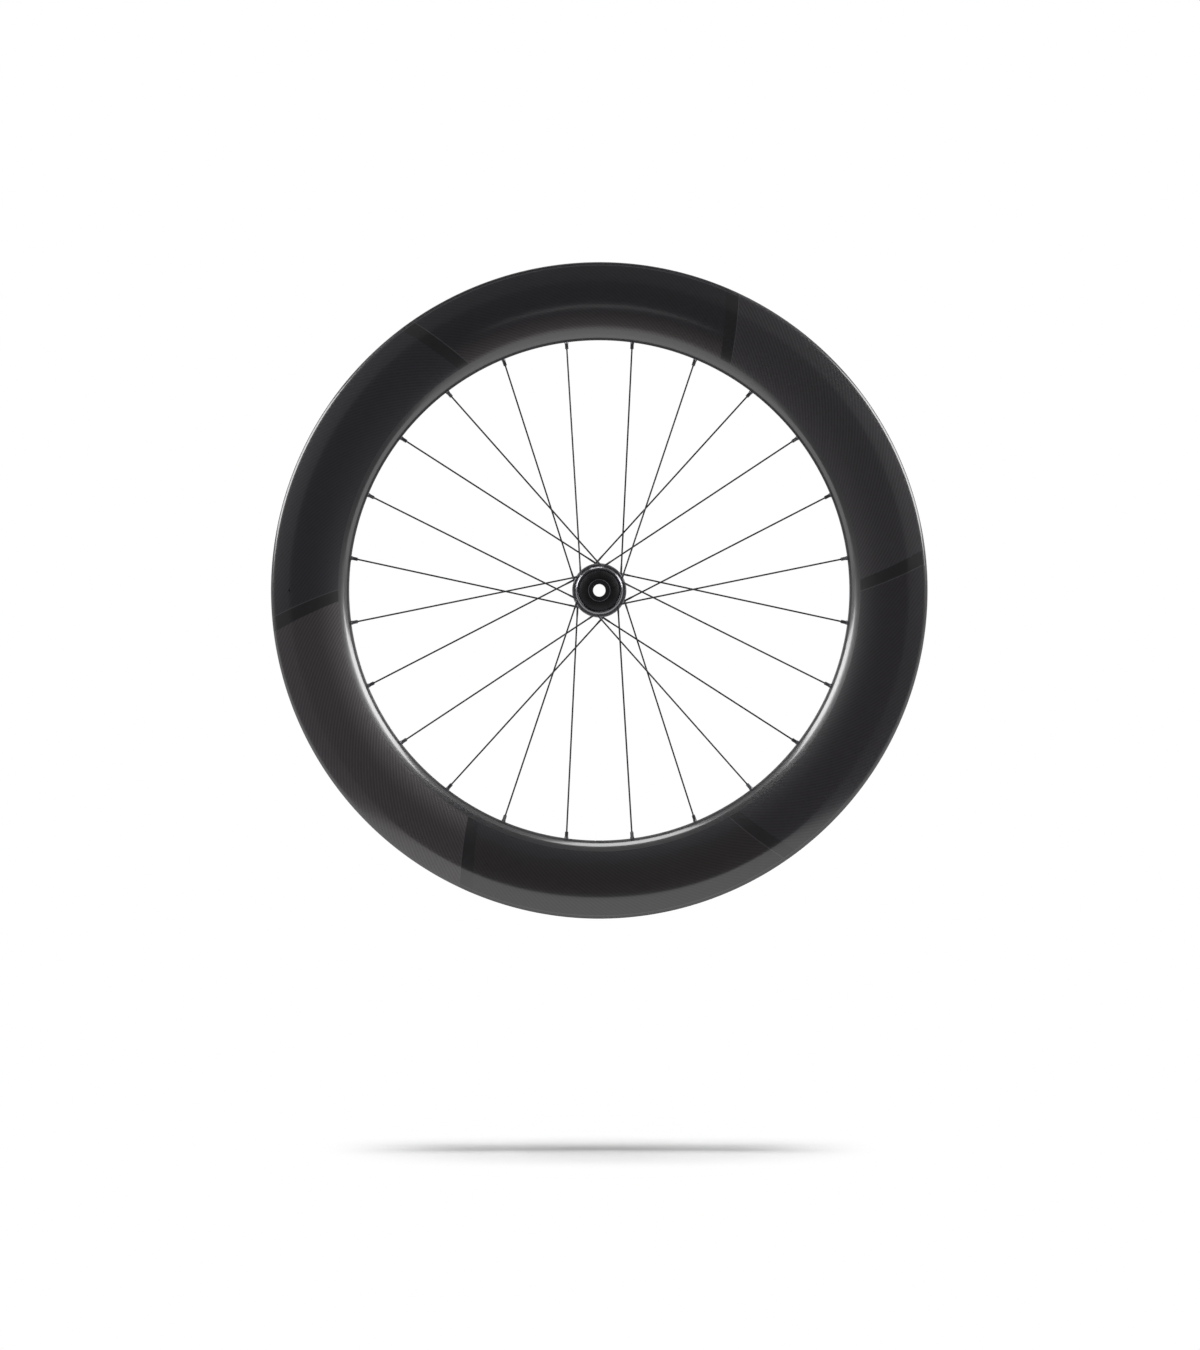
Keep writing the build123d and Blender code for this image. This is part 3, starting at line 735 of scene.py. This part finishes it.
def twill_carbon():
    """Twill carbon cloth in six overlapping panels under a gloss coat."""
    material, tree, surface = finish_named("Clear-coated twill carbon fibre")
    place = add(tree, "SeparateXYZ", {0: add(tree, "UVMap", uv_map="panels").outputs[0]})
    panels, walk = place.outputs["X"], place.outputs["Y"]
    from_nose = add(tree, "Math", {0: walk}, operation="ABSOLUTE").outputs[0]
    weave = twill_weave(tree, panels, walk)
    cloth = cloth_colour(tree, panels, from_nose, weave)
    tree.links.new(with_joints(tree, panels, from_nose, cloth), surface.inputs["Base Color"])
    bump = add(tree, "Bump", {"Strength": 1.0, "Distance": WEAVE_DEPTH * MM, "Height": weave})
    tree.links.new(bump.outputs["Normal"], surface.inputs["Normal"])
    surface.inputs["Roughness"].default_value = TWILL_ROUGHNESS
    surface.inputs["Specular IOR Level"].default_value = TWILL_MIRROR
    clear_coat(surface)
    return material


woven_wall = twill_carbon()
print("carbon:", woven_wall.name, "of", len(woven_wall.node_tree.nodes), "nodes")

# %% [markdown]
# ## The nose strip
# A strip of straight fibres, laid along the rim, covers the nose where the walls' panels end. Its fibres
# lie flat and packed, so under the coat it mirrors almost twice as much as the cloth, and it shows no
# weave, only faint streaks along the rim. The spoke bed in its middle is left without a coat, and its tones
# are set darker than the strip's as painted shade for the dark reflection that runs along the nose's inner
# edge. From the side it looks like a dark line. Both could be pieces of their own, but they are part of the
# same skin, so the faces near the nose just get another finish.

# %% Nose strip carbon
# A fibre is 0.007 mm thick, too fine to show, so a streak is drawn as a bundle of them, in millimetres.
STREAK_WIDTH = 0.8
STREAK_LENGTH = 60.0


def straight_fibre_carbon(name, dark, light, roughness, mirror):
    """Straight carbon fibres along the rim: two tones of streaks, and how much the fibres mirror."""
    material, tree, surface = finish_named(name)
    place = add(tree, "UVMap", uv_map="panels").outputs[0]
    stretch = (panel_length / STREAK_LENGTH, 1 / (STREAK_WIDTH * MM), 1)
    streaks = add(tree, "VectorMath", {0: place, 1: stretch}, operation="MULTIPLY").outputs[0]
    streak = add(tree, "TexNoise", {"Vector": streaks, "Scale": 1.0, "Detail": 2.0}).outputs[0]
    tone = add(tree, "ValToRGB", {0: streak})
    tone.color_ramp.elements[0].color = linear(dark)
    tone.color_ramp.elements[1].color = linear(light)
    tree.links.new(tone.outputs[0], surface.inputs["Base Color"])
    surface.inputs["Roughness"].default_value = roughness
    surface.inputs["Specular IOR Level"].default_value = mirror
    return material, surface


# Under the coat the flat fibres mirror like silk.
glossy_strip, strip_surface = straight_fibre_carbon(
    "Clear-coated straight carbon fibre", "#1d1b20", "#2c2a2e", roughness=0.29, mirror=0.55)
clear_coat(strip_surface)
# Without it they are dull, and their tones are set nearly black as painted shade for the dark reflection
# along the nose's inner edge.
bare_bed_painted_dark, _ = straight_fibre_carbon(
    "Bare straight carbon fibre, matt", "#151317", "#201e22", roughness=0.6, mirror=0.3)
print("carbon:", glossy_strip.name, "and", bare_bed_painted_dark.name)

# %% Finishes of the rim
# Millimetres. The strip and the bed end at these radii, at the nearest edge of a face.
NOSE_STRIP_RADIUS = 252.5
SPOKE_BED_RADIUS = 243.7
EDGE_MARGIN = 0.1

rim_mesh = rim_piece.data
rim_mesh.materials.clear()
for finish in (woven_wall, glossy_strip, bare_bed_painted_dark):
    rim_mesh.materials.append(finish)
corner_map = np.empty(2 * len(rim_mesh.loops), np.float32)
rim_mesh.uv_layers["panels"].data.foreach_get("uv", corner_map)
first_corner = np.empty(len(rim_mesh.polygons), np.int32)
rim_mesh.polygons.foreach_get("loop_start", first_corner)
furthest = np.maximum.reduceat(np.abs(corner_map[1::2]), first_corner)
zones = np.zeros(len(furthest), np.int32)
for radius in (NOSE_STRIP_RADIUS, SPOKE_BED_RADIUS):
    edge = walk_from_nose[np.argmin(np.abs(np.array(wall_radii) - radius))]
    zones += furthest < edge + EDGE_MARGIN * MM
rim_mesh.polygons.foreach_set("material_index", zones)
print("rim faces of cloth, strip and bed:", np.bincount(zones).tolist())

# %% [markdown]
# ## Spokes
# A straight-pull spoke is steel wire with an upset head, which sits in the flange. Its middle is forged
# flat into a blade and both its ends stay round. A curve with a bevel could draw it, but its section
# couldn't change from round to flat. So each spoke is a row of rings along its line: every ring is a
# rounded bar of some width and thickness, and the two change gently along the forged stretches. The blade
# runs on into the nipple, which hides the round end.

# %% Spoke meshes
# Millimetres.
HEAD_DIAMETER = 3.4
HEAD_HEIGHT = 1.5
HEAD_ROUND = 0.3
WIRE_DIAMETER = 2.0
BLADE_WIDTH = 1.6
BLADE_THICKNESS = 0.95
HUB_SHANK = 12.5
FORGED_LENGTH = 4.0
RIM_SHANK = 9.0
FORGE_STEPS = 8
RING_POINTS = 24


def spoke_rings(length):
    """Distance from the head, width and thickness of every ring, in millimetres."""
    rings = [
        (0, HEAD_DIAMETER - 2 * HEAD_ROUND, HEAD_DIAMETER - 2 * HEAD_ROUND),
        (HEAD_ROUND, HEAD_DIAMETER, HEAD_DIAMETER),
        (HEAD_HEIGHT, HEAD_DIAMETER, HEAD_DIAMETER),
        (HEAD_HEIGHT, WIRE_DIAMETER, WIRE_DIAMETER),
    ]
    flat = []
    for k in range(FORGE_STEPS + 1):
        share = k / FORGE_STEPS
        eased = share * share * (3 - 2 * share)
        width = WIRE_DIAMETER + eased * (BLADE_WIDTH - WIRE_DIAMETER)
        thickness = WIRE_DIAMETER + eased * (BLADE_THICKNESS - WIRE_DIAMETER)
        flat.append((share * FORGED_LENGTH, width, thickness))
    rings += [(HUB_SHANK + along, *bar) for along, *bar in flat]
    rings += [(length - RIM_SHANK - along, *bar) for along, *bar in reversed(flat)]
    return rings + [(length, WIRE_DIAMETER, WIRE_DIAMETER)]


def bladed_spoke(name, near_hub, near_rim):
    """One spoke as rings between its two ends, with the blade's width in the wheel's plane."""
    along = (near_rim - near_hub).normalized()
    wide = wheel_axis.cross(along).normalized()
    thick = along.cross(wide)
    turns = [2 * pi * (k + 0.5) / RING_POINTS for k in range(RING_POINTS)]
    mesh = bmesh.new()
    rows = []
    for distance, width, thickness in spoke_rings((near_rim - near_hub).length / MM):
        middle = near_hub + along * distance * MM
        straight = (width - thickness) / 2 * MM
        radius = thickness / 2 * MM
        row = []
        for turn in turns:
            side = straight if cos(turn) > 0 else -straight
            across = middle + wide * (side + radius * cos(turn))
            row.append(mesh.verts.new(across + thick * radius * sin(turn)))
        rows.append(row)
    for low, high in zip(rows, rows[1:]):
        for k in range(RING_POINTS):
            n = (k + 1) % RING_POINTS
            mesh.faces.new((low[k], low[n], high[n], high[k]))
    mesh.faces.new(reversed(rows[0]))
    mesh.faces.new(rows[-1])
    data = bpy.data.meshes.new(name)
    mesh.to_mesh(data)
    mesh.free()
    piece = bpy.data.objects.new(name, data)
    bpy.context.scene.collection.objects.link(piece)
    smooth_but_edges(piece)
    return piece


spokes = []
for node_name, ends in spoke_lines.items():
    piece = bladed_spoke("bladed_" + node_name, *ends)
    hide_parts(node_name)
    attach(piece, "wheel")
    spokes.append(piece)
print("spokes:", len(spokes), "of", len(spokes[0].data.polygons), "faces")

# %% [markdown]
# ## Bearing shield
# On the plain side a thin turned ring covers the bearing and closes the hollow between the end cap and the
# flange. It is slightly domed, so its shade changes softly across it. The shell's solid leaves this hollow
# open, so the ring is a piece of its own. A disc with a hole would look flat, so one arc, and the same arc
# set in by the ring's thickness, make a closed section, which is spun like the rim's.

# %% Shield mesh
# Millimetres and degrees. The face is the place of the inner edge along the axle.
SHIELD_INNER_RADIUS = 10.95
SHIELD_OUTER_RADIUS = 19.3
SHIELD_FACE = 40.8
SHIELD_LEAN = 15.0
SHIELD_THICKNESS = 0.3
SHIELD_STEPS = 96
SHIELD_ARC_STEPS = 12

shield_arc = (SHIELD_OUTER_RADIUS - SHIELD_INNER_RADIUS) / sin(radians(SHIELD_LEAN))
inner_edge = complex(SHIELD_INNER_RADIUS, -SHIELD_FACE)
dome, _ = arc_by_turn(inner_edge, 1, shield_arc, radians(SHIELD_LEAN), SHIELD_ARC_STEPS)
shield_face = [inner_edge, *dome]
shield_back = [p + 1j * SHIELD_THICKNESS for p in shield_face]
shield = spun("bearing_shield", shield_back + shield_face[::-1], SHIELD_STEPS)
smooth_but_edges(shield)
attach(shield, "wheel")
print("shield:", len(shield.data.polygons), "faces")

# %% [markdown]
# ## Metal
# All the metal here is turned, drawn or ground, so it is a little smoother in some places than in others,
# and turned pieces have fine rings round the axle. The rings could be modelled, but they are far too fine,
# so they are a bump whose spacing runs along the radius and the axle at once: that way they go round on
# faces and on barrels alike. The hub's black anodising is satin, and brighter only on the flanges' rims,
# which the polisher's wheel reached. One function makes every metal.

# %% Metal function
# Millimetres: the patches of uneven polish, the depth of a groove, and the radius where polish begins.
METAL_MOTTLE = 6.0
GROOVE_DEPTH = 0.0005
POLISHED_FROM = 20.8
POLISHED_FADE = 0.6
# How far the roughness goes up and down between the patches.
POLISH_SPREAD = 0.2


def metal(name, colour, metallic, roughness, groove=0.0, rim_colour=None):
    """Metal with an uneven polish. It can have turned grooves, by their spacing, and polished rims."""
    material, tree, surface = finish_named(name)
    place = add(tree, "TexCoord").outputs["Object"]
    mottle = add(tree, "TexNoise", {"Vector": place, "Scale": 1 / (METAL_MOTTLE * MM), "Detail": 3.0})
    polish = add(tree, "MapRange", {
        "Value": mottle.outputs[0],
        "To Min": (1 - POLISH_SPREAD) * roughness, "To Max": (1 + POLISH_SPREAD) * roughness,
    })
    tree.links.new(polish.outputs["Result"], surface.inputs["Roughness"])
    surface.inputs["Base Color"].default_value = linear(colour)
    surface.inputs["Metallic"].default_value = metallic
    flat = add(tree, "VectorMath", {0: place, 1: (1, 0, 1)}, operation="MULTIPLY").outputs[0]
    radius = add(tree, "VectorMath", {0: flat}, operation="LENGTH").outputs["Value"]
    if rim_colour:
        polished = add(tree, "MapRange", {
            "Value": radius,
            "From Min": POLISHED_FROM * MM, "From Max": (POLISHED_FROM + POLISHED_FADE) * MM,
        }).outputs["Result"]
        tones = {0: polished, 6: linear(colour), 7: linear(rim_colour)}
        tone = add(tree, "Mix", tones, data_type="RGBA")
        tree.links.new(tone.outputs[2], surface.inputs["Base Color"])
    if groove:
        along = add(tree, "SeparateXYZ", {0: place}).outputs["Y"]
        walk = add(tree, "Math", {0: radius, 1: along}, operation="ADD").outputs[0]
        phase = add(tree, "Math", {0: walk, 1: 2 * pi / (groove * MM)}, operation="MULTIPLY").outputs[0]
        ridge = add(tree, "Math", {0: phase}, operation="SINE").outputs[0]
        bump = add(tree, "Bump", {"Strength": 1.0, "Distance": GROOVE_DEPTH * MM, "Height": ridge})
        tree.links.new(bump.outputs["Normal"], surface.inputs["Normal"])
    return material


print("uneven polish: patches of", METAL_MOTTLE, "mm")

# %% Metal finishes
# The lathe's feed leaves grooves of about 0.1 mm. They are drawn at 0.6 mm so that they show as a sheen.
LATHE_GROOVE = 0.6

finishes = {
    # Black dye in a hard clear skin: dark satin metal, and grey where the rims were polished.
    "black_anodised_aluminium": metal(
        "Black anodised aluminium, turned", "#434347", metallic=0.75, roughness=0.17,
        groove=LATHE_GROOVE, rim_colour="#828286"),
    # The same skin without the dye: silver grey and satin.
    "axle_aluminium": metal(
        "Clear anodised aluminium, turned", "#c4c5c8", metallic=1.0, roughness=0.32,
        groove=LATHE_GROOVE),
    # A thin black coat on drawn wire: rather dull, with a weak glint of the steel along the blade.
    "black_spoke_steel": metal(
        "Black-coated spoke steel, drawn", "#2b2b2e", metallic=0.5, roughness=0.36),
    # Small turned pieces in a thin dyed skin, which glint more than the spokes.
    "black_nipple_alloy": metal(
        "Black anodised nipple alloy, turned", "#58585c", metallic=0.8, roughness=0.28),
    # Hard steel from the grinding wheel: mid grey, with fine rings.
    "bearing_steel": metal(
        "Bearing steel, ground", "#7c7d80", metallic=1.0, roughness=0.22, groove=LATHE_GROOVE),
    # The same steel lapped until it mirrors, as balls are.
    "polished_steel": metal(
        "Bearing steel, polished", "#d2d3d5", metallic=1.0, roughness=0.06),
}
# The shield is blasted before it is anodised, so it is duller than the turned shell.
shield_finish = metal("Black anodised aluminium, blasted", "#1e1e21", metallic=0.6, roughness=0.34)
shield.data.materials.append(shield_finish)
print("metals:", [finish.name for finish in finishes.values()], "and", shield_finish.name)

# %% [markdown]
# ## Plastics and rubber
# The rim strip is extruded polypropylene, the ball cages are moulded nylon and the seals are moulded
# rubber. They share a faint orange-peel texture from the mould or the die, and differ in colour and gloss.
# The texture is too shallow to model, so one noise gives both its bump and the slight change of colour.

# %% Plastic and rubber finishes
# Shares: how far the colour goes up and down, how strong the bump is, and its depth for a grain's size.
COLOUR_SPREAD = 0.15
GRAIN_STRENGTH = 0.15
GRAIN_DEPTH = 0.2


def moulded(name, colour, roughness, grain):
    """A moulded surface with a fine grain, of a size in millimetres, and slightly uneven colour."""
    material, tree, surface = finish_named(name)
    place = add(tree, "TexCoord").outputs["Object"]
    texture = add(tree, "TexNoise", {"Vector": place, "Scale": 1 / (grain * MM), "Detail": 2.0}).outputs[0]
    shade = add(tree, "MapRange", {
        "Value": texture, "To Min": 1 - COLOUR_SPREAD, "To Max": 1 + COLOUR_SPREAD,
    }).outputs["Result"]
    tones = {0: 1.0, 6: linear(colour), 7: shade}
    tone = add(tree, "Mix", tones, data_type="RGBA", blend_type="MULTIPLY")
    tree.links.new(tone.outputs[2], surface.inputs["Base Color"])
    bump = add(tree, "Bump", {
        "Strength": GRAIN_STRENGTH, "Distance": GRAIN_DEPTH * grain * MM, "Height": texture,
    })
    tree.links.new(bump.outputs["Normal"], surface.inputs["Normal"])
    surface.inputs["Roughness"].default_value = roughness
    return material


# Waxy and half matt, with a coarse grain from the die.
strip_plastic = moulded("Polypropylene, extruded", "#3a3b3f", roughness=0.45, grain=1.0)
# Cream-coloured and half matt.
cage_nylon = moulded("Nylon, moulded", "#c2ae86", roughness=0.5, grain=0.5)
# Nearly black and dull, with a grain as fine as skin.
seal_rubber = moulded("Nitrile rubber, moulded", "#101011", roughness=0.6, grain=0.2)
finishes |= {"strip_plastic": strip_plastic, "cage_nylon": cage_nylon, "seal_rubber": seal_rubber}
print("plastics and rubber:", [finish.name for finish in (strip_plastic, cage_nylon, seal_rubber)])

# %% [markdown]
# ## Dressing the pieces
# Every solid of the frame names the finish that it has on the real wheel. Each could be dressed by hand,
# but handing the finishes out by that name dresses them all at once and forgets none. The new spokes take
# the same steel.

# %% Give every piece its finish
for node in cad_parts.values():
    slot_name = node.material_slots[0].material.name
    if slot_name in finishes:
        node.material_slots[0].material = finishes[slot_name]
for piece in spokes:
    piece.data.materials.append(finishes["black_spoke_steel"])
print("finished nodes:", sum(not node.hide_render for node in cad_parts.values()))

# %% [markdown]
# ## Size
# The box of the solids, measured right after loading, and the box of the dressed wheel are kept side by
# side. The looks may not make the wheel larger than its solids.

# %% Measure the dressed wheel
size = {"cad": [list(corner) for corner in cad_box], "visual": [list(corner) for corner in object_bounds()]}
print("box of the dressed wheel:", size["visual"])
